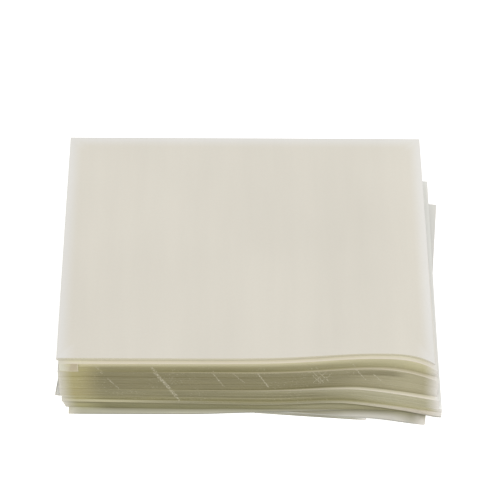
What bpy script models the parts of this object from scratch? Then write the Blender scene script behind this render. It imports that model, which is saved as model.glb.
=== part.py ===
"""A stack of edible rice paper: nine thin bundles of rectangular sheets, laid on each other slightly askew.

Metres, +Z up, front towards -Y. The origin is on the surface that the stack lies on, at the
centre of the turned sheets, whose corners reach furthest out on all four sides.
"""
import math

import bmesh
import bpy

MM = 0.001
GAP = 0.3 * MM                       # clearance between one bundle and the next

SHEET_WIDTH = 90.0 * MM              # along X
SHEET_DEPTH = 72.0 * MM              # along Y

# Heights of the top faces of the bundles, away from the hump and the sagging corner.
TOP_SHEETS_TOP = 18.0 * MM
SECOND_TOP = 17.07 * MM
THIRD_TOP = 14.1 * MM
FOURTH_TOP = 7.5 * MM
FIFTH_TOP = 4.9 * MM
SIXTH_TOP = 2.9 * MM

# The thin sheets at the bottom follow what lies under them.
BOTTOM_THICKNESS = 0.35 * MM
TURNED_THICKNESS = 0.3 * MM
OFFCUT_THICKNESS = 0.6 * MM

# The turned sheets lie clockwise of the rest, and the offcut is tucked under their front.
TURNED_ANGLE = math.radians(-5.58)
OFFCUT_ANGLE = math.radians(-4.1)
OFFCUT_WIDTH = 27.0 * MM
OFFCUT_DEPTH = 33.0 * MM
OFFCUT_X = 15.15 * MM
OFFCUT_Y = -21.2 * MM

# How far from the offcut the sheets over it are still lifted: left, right and behind.
LIFT_LEFT = 12.0 * MM
LIFT_RIGHT = 17.0 * MM
LIFT_BEHIND = 12.0 * MM
LIFT_MARGIN = 1.0 * MM               # they lie flat on the offcut and this far past it

# Sheets over the turned sheets come down between these distances from their edges.
DRAPE_START = 0.3 * MM
DRAPE_END = 2.6 * MM

# The hump over the offcut and the sag beyond it fade out towards the rear.
FRONT_Y = -34.0 * MM
FADE_LENGTH = 34.0 * MM

# The sixth bundle is squeezed at the front right corner, but never thinner than this.
SQUEEZED_THICKNESS = 0.25 * MM

# The front left corner of the second bundle has a small flap, folded down over its front face.
FLAP_WIDTH = 4.3 * MM
FLAP_HEIGHT = 2.5 * MM
FLAP_THICKNESS = 0.2 * MM
FLAP_INSET = 0.1 * MM                # from the left edge
FLAP_LOWERED = 0.05 * MM             # from the top face
FLAP_ROOT = 0.3 * MM                 # how deep it is fused into the front face

GRID_X = 20                          # cells along a sheet, closer together to the right
GRID_Y = 8                           # cells across a sheet, closer together to the front
THIN_GRID_X = 24                     # cells along the thin sheets, which bend more sharply
SPREAD = 1.35                        # 1 spaces the cells evenly
PAPER_ROUGHNESS = 0.55


def wave_shape(hump, crest, reach, sag, lateness):
    """Millimetres: height and place of the hump, its reach to the left, and the sag at the right edge.

    lateness is the power of the sag: the higher, the closer to the corner it starts.
    """
    return {
        "hump": hump * MM,
        "crest": crest * MM,
        "reach": reach * MM,
        "sag": sag * MM,
        "lateness": lateness,
    }


# The higher in the stack, the broader the hump, and the later and sharper the sag.
SIXTH_WAVE = wave_shape(hump=1.6, crest=21.5, reach=8.5, sag=4.0, lateness=1.35)
FIFTH_WAVE = wave_shape(hump=1.8, crest=22.5, reach=9.5, sag=3.4, lateness=1.35)
FOURTH_WAVE = wave_shape(hump=2.1, crest=25.0, reach=11.0, sag=3.0, lateness=1.3)
THIRD_WAVE = wave_shape(hump=2.4, crest=29.6, reach=12.5, sag=4.4, lateness=2.0)
SECOND_WAVE = wave_shape(hump=2.35, crest=29.6, reach=12.5, sag=5.6, lateness=3.0)
TOP_WAVE = wave_shape(hump=2.1, crest=29.6, reach=12.5, sag=5.6, lateness=3.0)


def smooth_step(value, start, end):
    """0 before start, 1 after end, an S-curve between."""
    t = min(max((value - start) / (end - start), 0.0), 1.0)
    return t * t * (3.0 - 2.0 * t)


def to_local(x, y, centre_x, centre_y, angle):
    """A point in the frame of a sheet that is turned about its centre."""
    dx = x - centre_x
    dy = y - centre_y
    return (dx * math.cos(angle) + dy * math.sin(angle), dy * math.cos(angle) - dx * math.sin(angle))


def wave(x, y, shape):
    """Rise over the offcut and sag at the front right corner of one face of the stack."""
    past_crest = x - shape["crest"]
    if past_crest < 0.0:
        height = shape["hump"] * math.exp(-0.5 * (past_crest / shape["reach"]) ** 2)
    else:
        share = past_crest / (SHEET_WIDTH / 2 - shape["crest"])
        height = shape["hump"] - shape["sag"] * share ** shape["lateness"]
    behind_front = max(y - FRONT_Y, 0.0)
    return height * math.exp(-(behind_front / FADE_LENGTH) ** 2)


def offcut_lift(x, y):
    """1 over the offcut, fading to 0 to its left, its right and behind it."""
    u, v = to_local(x, y, OFFCUT_X, OFFCUT_Y, OFFCUT_ANGLE)
    side = OFFCUT_WIDTH / 2
    rear = OFFCUT_DEPTH / 2
    on_left = smooth_step(u, -side - LIFT_LEFT, -side - LIFT_MARGIN)
    on_right = 1.0 - smooth_step(u, side + LIFT_MARGIN, side + LIFT_RIGHT)
    behind = 1.0 - smooth_step(v, rear + LIFT_MARGIN, rear + LIFT_BEHIND)
    return on_left * on_right * behind


def turned_cover(x, y):
    """1 over the turned sheets, fading to 0 past their front edge and their right edge."""
    u, v = to_local(x, y, 0.0, 0.0, TURNED_ANGLE)
    in_front = smooth_step(v, -SHEET_DEPTH / 2 - DRAPE_END, -SHEET_DEPTH / 2 - DRAPE_START)
    on_right = 1.0 - smooth_step(u, SHEET_WIDTH / 2 + DRAPE_START, SHEET_WIDTH / 2 + DRAPE_END)
    return in_front * on_right


def floor_level(x, y):
    return 0.0


def offcut_top(x, y):
    return OFFCUT_THICKNESS


def turned_bottom(x, y):
    return offcut_lift(x, y) * (OFFCUT_THICKNESS + GAP)


def turned_top(x, y):
    return turned_bottom(x, y) + TURNED_THICKNESS


def bottom_bottom(x, y):
    over_turned = turned_cover(x, y) * (TURNED_THICKNESS + GAP)
    return turned_bottom(x, y) + over_turned


def bottom_top(x, y):
    return bottom_bottom(x, y) + BOTTOM_THICKNESS


def sixth_top(x, y):
    lowest = bottom_top(x, y) + GAP + SQUEEZED_THICKNESS
    return max(SIXTH_TOP + wave(x, y, SIXTH_WAVE), lowest)


def fifth_top(x, y):
    return FIFTH_TOP + wave(x, y, FIFTH_WAVE)


def fourth_top(x, y):
    return FOURTH_TOP + wave(x, y, FOURTH_WAVE)


def third_top(x, y):
    return THIRD_TOP + wave(x, y, THIRD_WAVE)


def second_top(x, y):
    return SECOND_TOP + wave(x, y, SECOND_WAVE)


def top_top(x, y):
    return TOP_SHEETS_TOP + wave(x, y, TOP_WAVE)


def above(surface):
    """The face that rests on a surface, with the clearance."""
    return lambda x, y: surface(x, y) + GAP


def make_material(name, colour, roughness):
    material = bpy.data.materials.new(name)
    material.use_nodes = True
    shader = material.node_tree.nodes["Principled BSDF"]
    shader.inputs["Base Color"].default_value = (*colour, 1.0)
    shader.inputs["Roughness"].default_value = roughness
    shader.inputs["Metallic"].default_value = 0.0
    return material


def bundle_point(u, v, sheet, lean):
    """Where a point of a sheet lies. u runs left to right and v front to rear, both 0 to 1.

    The front right corner is pulled out by sheet["pull"], as the sheets fan out there.
    lean moves the point sideways.
    """
    pull_x, pull_y = sheet["pull"]
    near = (1.0 - v) ** 2
    local_x = (u - 0.5) * sheet["width"] + pull_x * u * near
    local_y = (v - 0.5) * sheet["depth"] + pull_y * u ** 2 * near
    angle = sheet["angle"]
    x = sheet["x"] + local_x * math.cos(angle) - local_y * math.sin(angle)
    y = sheet["y"] + local_x * math.sin(angle) + local_y * math.cos(angle)
    return x + lean[0], y + lean[1]


def add_bundle(name, sheet, bottom, top, colour, cells_x=GRID_X, cells_y=GRID_Y):
    """A closed solid between two surfaces, with straight walls round the outline of the sheet."""
    mesh = bpy.data.meshes.new(name)
    bm = bmesh.new()
    layers = []
    for surface, lean in ((bottom, sheet["lean"]), (top, (0.0, 0.0))):
        rows = []
        for j in range(cells_y + 1):
            v = (j / cells_y) ** SPREAD
            row = []
            for i in range(cells_x + 1):
                u = 1.0 - (1.0 - i / cells_x) ** SPREAD
                x, y = bundle_point(u, v, sheet, lean)
                row.append(bm.verts.new((x, y, surface(x, y))))
            rows.append(row)
        layers.append(rows)
    low, high = layers
    for j in range(cells_y):
        for i in range(cells_x):
            bm.faces.new((high[j][i], high[j][i + 1], high[j + 1][i + 1], high[j + 1][i]))
            bm.faces.new((low[j][i], low[j + 1][i], low[j + 1][i + 1], low[j][i + 1]))
    for i in range(cells_x):
        bm.faces.new((low[0][i], low[0][i + 1], high[0][i + 1], high[0][i]))
        bm.faces.new((low[-1][i + 1], low[-1][i], high[-1][i], high[-1][i + 1]))
    for j in range(cells_y):
        bm.faces.new((low[j + 1][0], low[j][0], high[j][0], high[j + 1][0]))
        bm.faces.new((low[j][-1], low[j + 1][-1], high[j + 1][-1], high[j][-1]))
    bm.to_mesh(mesh)
    bm.free()
    node = bpy.data.objects.new(name, mesh)
    bpy.context.scene.collection.objects.link(node)
    node.data.materials.append(make_material(name + "_paper", colour, PAPER_ROUGHNESS))
    return node


def add_flap(node, sheet):
    """Fuses the folded-down flap to the front left corner of a bundle."""
    left, front = bundle_point(0.0, 0.0, sheet, (0.0, 0.0))
    bpy.ops.mesh.primitive_cube_add(size=1.0)
    flap = bpy.context.active_object
    flap.name = "flap_shape"
    flap.scale = (FLAP_WIDTH, FLAP_THICKNESS + FLAP_ROOT, FLAP_HEIGHT)
    flap.location = (
        left + FLAP_INSET + FLAP_WIDTH / 2,
        front + (FLAP_ROOT - FLAP_THICKNESS) / 2,
        SECOND_TOP - FLAP_LOWERED - FLAP_HEIGHT / 2,
    )
    union = node.modifiers.new("flap", "BOOLEAN")
    union.operation = "UNION"
    union.solver = "EXACT"
    union.object = flap
    bpy.context.view_layer.update()
    evaluated = node.evaluated_get(bpy.context.evaluated_depsgraph_get())
    fused = bpy.data.meshes.new_from_object(evaluated)
    node.modifiers.clear()
    node.data = fused
    bpy.data.objects.remove(flap)


def rectangle(x, y, degrees, width=SHEET_WIDTH, depth=SHEET_DEPTH, pull=(0.0, 0.0), lean=(0.0, 0.0)):
    """The outline of a bundle, in millimetres and degrees except for its width and depth."""
    return {
        "x": x * MM,
        "y": y * MM,
        "angle": math.radians(degrees),
        "width": width,
        "depth": depth,
        "pull": (pull[0] * MM, pull[1] * MM),
        "lean": (lean[0] * MM, lean[1] * MM),
    }


TOP_COLOUR = (0.70, 0.67, 0.58)
EDGE_COLOUR = (0.28, 0.25, 0.15)
DARK_EDGE_COLOUR = (0.22, 0.20, 0.12)
PALE_COLOUR = (0.48, 0.48, 0.40)

TOP_SHEET = rectangle(-1.85, 2.2, 0.0)
SECOND = rectangle(-1.35, 0.8, 0.0, pull=(0.1, -0.2))
THIRD = rectangle(-1.25, 0.76, -0.25, width=90.2 * MM, pull=(0.5, -0.8))
FOURTH = rectangle(-1.05, 0.46, -0.4, width=90.2 * MM, pull=(1.0, -1.3))
FIFTH = rectangle(-0.3, 0.1, -0.6, width=90.8 * MM, pull=(0.5, -1.2), lean=(0.1, -0.25))
SIXTH = rectangle(-1.3, -0.19, -1.3, width=88.0 * MM, lean=(0.8, 0.0))
BOTTOM = rectangle(0.6, -1.06, -0.1)
TURNED = rectangle(0.0, 0.0, math.degrees(TURNED_ANGLE))
OFFCUT = rectangle(
    OFFCUT_X / MM, OFFCUT_Y / MM, math.degrees(OFFCUT_ANGLE), width=OFFCUT_WIDTH, depth=OFFCUT_DEPTH
)


def build():
    for old in list(bpy.data.objects):
        bpy.data.objects.remove(old)
    add_bundle("top_sheets", TOP_SHEET, above(second_top), top_top, TOP_COLOUR)
    second = add_bundle("second_bundle", SECOND, above(third_top), second_top, EDGE_COLOUR)
    add_flap(second, SECOND)
    add_bundle("third_bundle", THIRD, above(fourth_top), third_top, EDGE_COLOUR)
    add_bundle("fourth_bundle", FOURTH, above(fifth_top), fourth_top, EDGE_COLOUR)
    add_bundle("fifth_bundle", FIFTH, above(sixth_top), fifth_top, EDGE_COLOUR)
    add_bundle("sixth_bundle", SIXTH, above(bottom_top), sixth_top, DARK_EDGE_COLOUR, THIN_GRID_X)
    add_bundle("bottom_sheets", BOTTOM, bottom_bottom, bottom_top, PALE_COLOUR, THIN_GRID_X)
    add_bundle("turned_sheets", TURNED, turned_bottom, turned_top, PALE_COLOUR, THIN_GRID_X)
    add_bundle("offcut", OFFCUT, floor_level, offcut_top, PALE_COLOUR, 2, 2)


build()
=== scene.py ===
"""Looks of the stack of edible rice paper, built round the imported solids.

Metres, +Z up, front towards -Y. Each bundle becomes a pile of thin sheets with straight cut
edges, each laid down a little askew, between the same two faces as its solid.
"""
import math

import bpy
import numpy as np
from mathutils import Matrix, Vector


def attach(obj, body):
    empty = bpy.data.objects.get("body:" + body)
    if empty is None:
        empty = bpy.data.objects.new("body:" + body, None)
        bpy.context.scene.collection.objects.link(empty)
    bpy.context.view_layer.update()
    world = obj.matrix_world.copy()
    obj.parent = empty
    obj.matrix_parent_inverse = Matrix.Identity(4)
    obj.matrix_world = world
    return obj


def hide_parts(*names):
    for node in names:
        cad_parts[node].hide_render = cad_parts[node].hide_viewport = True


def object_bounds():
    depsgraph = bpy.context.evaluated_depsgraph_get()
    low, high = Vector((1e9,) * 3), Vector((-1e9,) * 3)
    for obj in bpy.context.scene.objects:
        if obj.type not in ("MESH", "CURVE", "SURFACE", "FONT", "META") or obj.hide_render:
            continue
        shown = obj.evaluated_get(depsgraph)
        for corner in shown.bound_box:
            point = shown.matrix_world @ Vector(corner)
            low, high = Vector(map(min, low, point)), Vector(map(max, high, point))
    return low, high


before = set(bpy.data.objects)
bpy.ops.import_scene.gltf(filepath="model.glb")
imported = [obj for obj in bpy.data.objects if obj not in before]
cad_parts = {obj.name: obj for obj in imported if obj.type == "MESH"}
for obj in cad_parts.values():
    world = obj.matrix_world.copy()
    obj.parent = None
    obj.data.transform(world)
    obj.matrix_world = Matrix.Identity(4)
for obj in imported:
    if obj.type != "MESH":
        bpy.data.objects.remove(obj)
cad_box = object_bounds()

MM = 0.001

# ---------------------------------------------------------------- sizes of the stack
SHEET_WIDTH = 90.0 * MM
SHEET_DEPTH = 72.0 * MM
FLOOR_Z = cad_box[0].z

TOP_SHEETS_TOP = 18.0 * MM
SECOND_TOP = 17.07 * MM
THIRD_TOP = 14.1 * MM
FOURTH_TOP = 7.5 * MM
FIFTH_TOP = 4.9 * MM
SIXTH_TOP = 2.9 * MM
BOTTOM_THICKNESS = 0.4 * MM
TURNED_THICKNESS = 0.35 * MM
OFFCUT_LEFT_THICKNESS = 0.4 * MM
OFFCUT_RIGHT_THICKNESS = 1.1 * MM
SEAM = 0.02 * MM                     # air between one bundle and the next

TURNED_ANGLE = math.radians(-5.58)
OFFCUT_ANGLE = math.radians(-4.1)
OFFCUT_WIDTH = 27.0 * MM
OFFCUT_DEPTH = 33.0 * MM
OFFCUT_X = 15.15 * MM
OFFCUT_Y = -21.2 * MM
LIFT_LEFT = 16.0 * MM
LIFT_RIGHT = 17.0 * MM
LIFT_BEHIND = 12.0 * MM
LIFT_MARGIN = 1.0 * MM
DRAPE_START = 0.3 * MM
DRAPE_END = 2.6 * MM
FRONT_Y = -34.0 * MM
FADE_LENGTH = 34.0 * MM
SQUEEZED_THICKNESS = 0.25 * MM
DROOP = 0.4 * MM                     # of the fifth bundle's lowest sheets at the front right corner
DROOP_START = 36.0 * MM


def wave_shape(hump, crest, reach, sag, lateness):
    """Millimetres: height and place of the hump, its reach to the left, and the sag at the right edge."""
    return {
        "hump": hump * MM,
        "crest": crest * MM,
        "reach": reach * MM,
        "sag": sag * MM,
        "lateness": lateness,
    }


SIXTH_WAVE = wave_shape(hump=1.6, crest=21.5, reach=8.5, sag=4.0, lateness=1.35)
FIFTH_WAVE = wave_shape(hump=1.8, crest=22.5, reach=9.5, sag=3.4, lateness=1.35)
FOURTH_WAVE = wave_shape(hump=2.1, crest=25.0, reach=11.0, sag=3.0, lateness=1.3)
THIRD_WAVE = wave_shape(hump=2.4, crest=29.6, reach=11.3, sag=4.4, lateness=2.0)
SECOND_WAVE = wave_shape(hump=2.35, crest=29.6, reach=12.5, sag=5.6, lateness=3.0)
TOP_WAVE = wave_shape(hump=2.1, crest=29.6, reach=12.5, sag=5.6, lateness=3.0)


def smooth_step(value, start, end):
    t = np.clip((value - start) / (end - start), 0.0, 1.0)
    return t * t * (3.0 - 2.0 * t)


def to_local(x, y, centre_x, centre_y, angle):
    dx = x - centre_x
    dy = y - centre_y
    return dx * math.cos(angle) + dy * math.sin(angle), dy * math.cos(angle) - dx * math.sin(angle)


def wave(x, y, shape):
    """Rise over the offcut and sag at the front right corner of one face of the stack."""
    past_crest = x - shape["crest"]
    rising = shape["hump"] * np.exp(-0.5 * (past_crest / shape["reach"]) ** 2)
    share = np.maximum(past_crest, 0.0) / (SHEET_WIDTH / 2 - shape["crest"])
    falling = shape["hump"] - shape["sag"] * share ** shape["lateness"]
    height = np.where(past_crest < 0.0, rising, falling)
    return height * np.exp(-(np.maximum(y - FRONT_Y, 0.0) / FADE_LENGTH) ** 2)


def offcut_lift(x, y):
    """1 over the offcut, fading to 0 to its left, its right and behind it."""
    u, v = to_local(x, y, OFFCUT_X, OFFCUT_Y, OFFCUT_ANGLE)
    side = OFFCUT_WIDTH / 2
    rear = OFFCUT_DEPTH / 2
    on_left = smooth_step(u, -side - LIFT_LEFT, -side - LIFT_MARGIN)
    on_right = 1.0 - smooth_step(u, side + LIFT_MARGIN, side + LIFT_RIGHT)
    behind = 1.0 - smooth_step(v, rear + LIFT_MARGIN, rear + LIFT_BEHIND)
    return on_left * on_right * behind


def offcut_thickness(x, y):
    """The offcut is thicker at its right end, and the sheets on top of it follow that."""
    u, _ = to_local(x, y, OFFCUT_X, OFFCUT_Y, OFFCUT_ANGLE)
    share = np.clip(u / OFFCUT_WIDTH + 0.5, 0.0, 1.0)
    return OFFCUT_LEFT_THICKNESS + (OFFCUT_RIGHT_THICKNESS - OFFCUT_LEFT_THICKNESS) * share


def turned_cover(x, y):
    """1 over the turned sheets, fading to 0 past their front edge and their right edge."""
    u, v = to_local(x, y, 0.0, 0.0, TURNED_ANGLE)
    in_front = smooth_step(v, -SHEET_DEPTH / 2 - DRAPE_END, -SHEET_DEPTH / 2 - DRAPE_START)
    on_right = 1.0 - smooth_step(u, SHEET_WIDTH / 2 + DRAPE_START, SHEET_WIDTH / 2 + DRAPE_END)
    return in_front * on_right


# The faces between the bundles, from the lowest to the highest.
def floor_level(x, y):
    return np.full_like(x, FLOOR_Z)


def offcut_top(x, y):
    return floor_level(x, y) + offcut_thickness(x, y)


def turned_bottom(x, y):
    return offcut_lift(x, y) * offcut_thickness(x, y)


def turned_top(x, y):
    return turned_bottom(x, y) + TURNED_THICKNESS


def bottom_bottom(x, y):
    return turned_bottom(x, y) + turned_cover(x, y) * TURNED_THICKNESS


def bottom_top(x, y):
    return bottom_bottom(x, y) + BOTTOM_THICKNESS


def sixth_top(x, y):
    lowest = bottom_top(x, y) + SQUEEZED_THICKNESS
    return np.maximum(SIXTH_TOP + wave(x, y, SIXTH_WAVE), lowest)


def fifth_bottom(x, y):
    """The lowest sheets of the fifth bundle droop at the front right corner."""
    on_right = smooth_step(x, DROOP_START, SHEET_WIDTH / 2)
    in_front = smooth_step(-y, 0.0, -FRONT_Y)
    return sixth_top(x, y) - DROOP * on_right * in_front


def fifth_top(x, y):
    return FIFTH_TOP + wave(x, y, FIFTH_WAVE)


def fourth_top(x, y):
    return FOURTH_TOP + wave(x, y, FOURTH_WAVE)


def third_top(x, y):
    return THIRD_TOP + wave(x, y, THIRD_WAVE)


def second_top(x, y):
    return SECOND_TOP + wave(x, y, SECOND_WAVE)


def top_top(x, y):
    return TOP_SHEETS_TOP + wave(x, y, TOP_WAVE)


def outline(
    x, y, degrees, width=SHEET_WIDTH, depth=SHEET_DEPTH, pull=(0.0, 0.0), power=4, lean=(0.0, 0.0)
):
    """The outline of a bundle, in millimetres and degrees except for its width and depth.

    pull is how far its front right corner is drawn sideways and forwards, power how late along the
    front edge that begins, and lean how far its lowest layer lies off its highest.
    """
    return {
        "x": x * MM,
        "y": y * MM,
        "angle": math.radians(degrees),
        "width": width,
        "depth": depth,
        "pull": (pull[0] * MM, pull[1] * MM),
        "power": power,
        "lean": (lean[0] * MM, lean[1] * MM),
    }


# ---------------------------------------------------------------- meshes
SEED = 7
CELLS = (90, 72)                     # cells along and across a sheet
LAYER = 0.11 * MM                    # a layer is about three sheets
LAYER_STEPS = (0.6, 1.4)             # thinnest and thickest layer, before they are fitted to the pile
ASKEW = np.array([0.035 * MM, 0.035 * MM, math.radians(0.035)])
FOOT_SHIFT = 0.28 * MM
FAR = 50.0                           # millimetres, where nothing lies on a sheet
SIDE_WEIGHT = 30.0                   # a bare strip at the left or right counts as that much wider

# The flap at the front left corner of the second bundle.
FLAP_WIDTH = 4.5 * MM
FLAP_HEIGHT = 2.6 * MM
FLAP_THICKNESS = 0.2 * MM
FLAP_SHEET = 0.12 * MM               # at its lower edge
FLAP_CURL = 0.1 * MM
FLAP_CURL_POWER = 3
FLAP_INSET = 0.15 * MM
FLAP_LOWERED = 0.03 * MM
FLAP_ROLL = 0.12                     # share of its height that rolls over the edge of the bundle
FLAP_ROWS = 14
FLAP_ROW_POWER = 1.3                 # rows lie closer together at the roll
FLAP_COLUMNS = 16

# Shares of the unit square in which a pile's faces are laid out.
MAP_GAP = 0.006
THICK_LAYERS = 12
THICK_STRIP = 0.14
THIN_STRIP = 0.05
LEDGE_STRIP = 0.35                   # of the height that a layer's edge gets
CAP_STRIP = 0.455
SLEEVE_STRIP = 0.8                   # this and the next three: of the height beside the caps
FLAP_ENDS_LOW = 0.82
FLAP_END_STEP = 0.09
FLAP_END_STRIP = 0.07


def ring_places(cells_x, cells_y):
    """u and v, 0 to 1, of the points round a sheet, anticlockwise from its front left corner."""
    along = np.arange(cells_x) / cells_x
    across = np.arange(cells_y) / cells_y
    u = np.concatenate((along, np.ones(cells_y), 1.0 - along, np.zeros(cells_y)))
    v = np.concatenate((np.zeros(cells_x), across, np.ones(cells_x), 1.0 - across))
    return u, v


def sheet_points(u, v, sheet, share, askew):
    """World x and y of points of one layer. share is 0 at the lowest layer and 1 at the highest.

    askew is how the layer lies off its place: sideways, forwards and turned.
    """
    pull_x, pull_y = sheet["pull"]
    lean_x, lean_y = sheet["lean"]
    near = (1.0 - v) ** 2
    local_x = (u - 0.5) * sheet["width"] + pull_x * u * near
    local_y = (v - 0.5) * sheet["depth"] + pull_y * u ** sheet["power"] * near
    angle = sheet["angle"] + askew[2]
    x = sheet["x"] + local_x * math.cos(angle) - local_y * math.sin(angle)
    y = sheet["y"] + local_x * math.sin(angle) + local_y * math.cos(angle)
    return x + lean_x * (1.0 - share) + askew[0], y + lean_y * (1.0 - share) + askew[1]


def cap_indices(ring_start, inner_start, cells_x, cells_y):
    """Vertex numbers of a grid over a sheet: its border is a ring, its inside has points of its own."""
    grid = np.empty((cells_y + 1, cells_x + 1), dtype=np.int64)
    ring = ring_start + np.arange(2 * (cells_x + cells_y))
    grid[0, :-1] = ring[:cells_x]
    grid[:-1, -1] = ring[cells_x:cells_x + cells_y]
    grid[-1, :0:-1] = ring[cells_x + cells_y:2 * cells_x + cells_y]
    grid[:0:-1, 0] = ring[2 * cells_x + cells_y:]
    count = (cells_x - 1) * (cells_y - 1)
    grid[1:-1, 1:-1] = inner_start + np.arange(count).reshape(cells_y - 1, cells_x - 1)
    return grid


def grid_quads(grid, upwards):
    a, b, c, d = grid[:-1, :-1], grid[:-1, 1:], grid[1:, 1:], grid[1:, :-1]
    order = (a, b, c, d) if upwards else (a, d, c, b)
    return np.stack(order, axis=-1).reshape(-1, 4)


def inner_places(cells_x, cells_y):
    u, v = np.meshgrid(np.arange(1, cells_x) / cells_x, np.arange(1, cells_y) / cells_y)
    return u.ravel(), v.ravel()


def bare_width(x, y, sheet):
    """How far a point lies in front of or behind the lowest layer of a sheet that covers it.

    It is negative under the sheet, and far out at the sheet's left and right.
    """
    dx = x - sheet["x"] - sheet["lean"][0]
    dy = y - sheet["y"] - sheet["lean"][1]
    local_x, local_y = to_local(dx, dy, 0.0, 0.0, sheet["angle"])
    u = np.clip(local_x / sheet["width"] + 0.5, 0.0, 1.0)
    v = np.clip(local_y / sheet["depth"] + 0.5, 0.0, 1.0)
    near = (1.0 - v) ** 2
    aside = np.abs(local_x - sheet["pull"][0] * u * near) - sheet["width"] / 2
    ahead = np.abs(local_y - sheet["pull"][1] * u ** sheet["power"] * near) - sheet["depth"] / 2
    beside = np.where(aside > 0.0, np.maximum(-ahead, 0.0), 0.0)
    return ahead + SIDE_WEIGHT * np.maximum(aside, 0.0) + beside


class Points:
    """The points of a pile and, in millimetres, what its materials need to know about each.

    corner: distance to the nearest corner along the side. rim: distance to the nearest edge other
    than the front one. along: distance round the pile from its front left corner. below: distance
    to the top of the pile. bare: see bare_width. fan: 0 to 1, how much the sheets are fanned out.
    foot: 0 to 1, from the top to the bottom of the lowest sheets, where they stick out. layer:
    place in the flat, unbent pile.
    """

    FLOATS = ("corner", "rim", "along", "below", "bare", "fan", "foot")

    def __init__(self):
        self.places = []
        self.layers = []
        self.floats = {key: [] for key in self.FLOATS}

    def add(self, places, layers, floats):
        self.places.append(places)
        self.layers.append(layers / MM)
        for key in self.FLOATS:
            self.floats[key].append(np.broadcast_to(floats[key], len(places)))

    def write(self, mesh):
        for key in self.FLOATS:
            attribute = mesh.attributes.new(key, "FLOAT", "POINT")
            attribute.data.foreach_set("value", np.concatenate(self.floats[key]).astype(np.float32))
        attribute = mesh.attributes.new("layer", "FLOAT_VECTOR", "POINT")
        attribute.data.foreach_set("vector", np.concatenate(self.layers).astype(np.float32).ravel())


def layer_shares(layers, rng):
    """Heights of the layers' faces, as shares of the pile, with uneven steps."""
    steps = np.cumsum(rng.uniform(*LAYER_STEPS, layers))
    return np.concatenate(([0.0], steps / steps[-1]))


def layer_shifts(layers, loose, foot_layers, rng):
    """How each layer lies off its place: all but the highest askew, and the foot further in front."""
    shifts = rng.normal(0.0, 1.0, (layers, 3)) * (ASKEW * loose)
    shifts[-1] = 0.0
    shifts[:foot_layers, 1] -= FOOT_SHIFT
    return shifts


def rectangle_map(left, low, width, height, grid_u, grid_v):
    """Places in the unit square of a grid of quads, by the shares along its two directions."""
    u = left + width * grid_u
    v = low + height * grid_v
    corners = ((0, 0), (1, 0), (1, 1), (0, 1))
    rows, columns = len(grid_v) - 1, len(grid_u) - 1
    quads = np.empty((rows, columns, 4, 2))
    for k, (across, up) in enumerate(corners):
        quads[:, :, k, 0] = u[None, across:columns + across]
        quads[:, :, k, 1] = v[up:rows + up, None]
    return quads.reshape(-1, 4, 2)


def pile_map(layers, cells_x, cells_y):
    """Where each face of a pile lies in a texture: four strips for the wall, then the two caps.

    The second result is where the caps begin, from the texture's lower edge.
    """
    strip = THICK_STRIP if layers > THICK_LAYERS else THIN_STRIP
    rises = np.tile((1.0, LEDGE_STRIP), layers)[:-1]
    up = np.concatenate(([0.0], np.cumsum(rises) / rises.sum()))
    grid_u = np.linspace(0.0, 1.0, cells_x + 1)
    grid_v = np.linspace(0.0, 1.0, cells_y + 1)
    sides = []
    for side, along in enumerate((grid_u, grid_v, grid_u, grid_v)):
        low = MAP_GAP + side * (strip + MAP_GAP)
        quads = rectangle_map(MAP_GAP, low, 1.0 - 2.0 * MAP_GAP, strip, along, up)
        sides.append(quads.reshape(len(rises), len(along) - 1, 4, 2))
    wall = np.concatenate(sides, axis=1).reshape(-1, 4, 2)
    low = 4.0 * (strip + MAP_GAP) + MAP_GAP
    height = 1.0 - MAP_GAP - low
    upper = rectangle_map(MAP_GAP, low, CAP_STRIP, height, grid_u, grid_v)
    lower = rectangle_map(2.0 * MAP_GAP + CAP_STRIP, low, CAP_STRIP, height, grid_u, grid_v)
    return np.concatenate((wall, upper, lower[:, (0, 3, 2, 1)])), low


def flap_profile():
    """Profile of the folded-down flap: how far forward its two sides are, and how far down."""
    down = np.linspace(0.0, 1.0, FLAP_ROWS) ** FLAP_ROW_POWER
    rolled = 1.0 - (1.0 - np.minimum(down / FLAP_ROLL, 1.0)) ** 2
    outer = FLAP_THICKNESS * rolled + FLAP_CURL * down ** FLAP_CURL_POWER
    inner = np.maximum(outer - FLAP_SHEET, -FLAP_SHEET)
    return outer, inner, FLAP_HEIGHT * down


def add_flap_points(points, sheet):
    """One loop of points, down its outer side and back up its inner one, for each column of the flap."""
    outer, inner, down = flap_profile()
    forward = np.concatenate((outer, inner[::-1]))
    lower = np.concatenate((down, down[::-1]))
    across = FLAP_WIDTH * np.linspace(0.0, 1.0, FLAP_COLUMNS)
    left, front = sheet_points(np.array([0.0]), np.array([0.0]), sheet, 1.0, (0.0, 0.0, 0.0))
    x = np.repeat(left + FLAP_INSET + across, len(forward))
    y = np.tile(front - forward, FLAP_COLUMNS)
    z = np.tile(SECOND_TOP - FLAP_LOWERED - lower, FLAP_COLUMNS)
    rim = np.minimum((FLAP_WIDTH - across)[:, None], FLAP_HEIGHT - lower[None, :])
    floats = {key: np.zeros(len(x)) for key in points.FLOATS}
    floats["rim"] = rim.ravel() / MM
    floats["along"] = np.repeat(across, len(forward)) / MM
    places = np.column_stack((x, y, z))
    points.add(places, places, floats)


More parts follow.
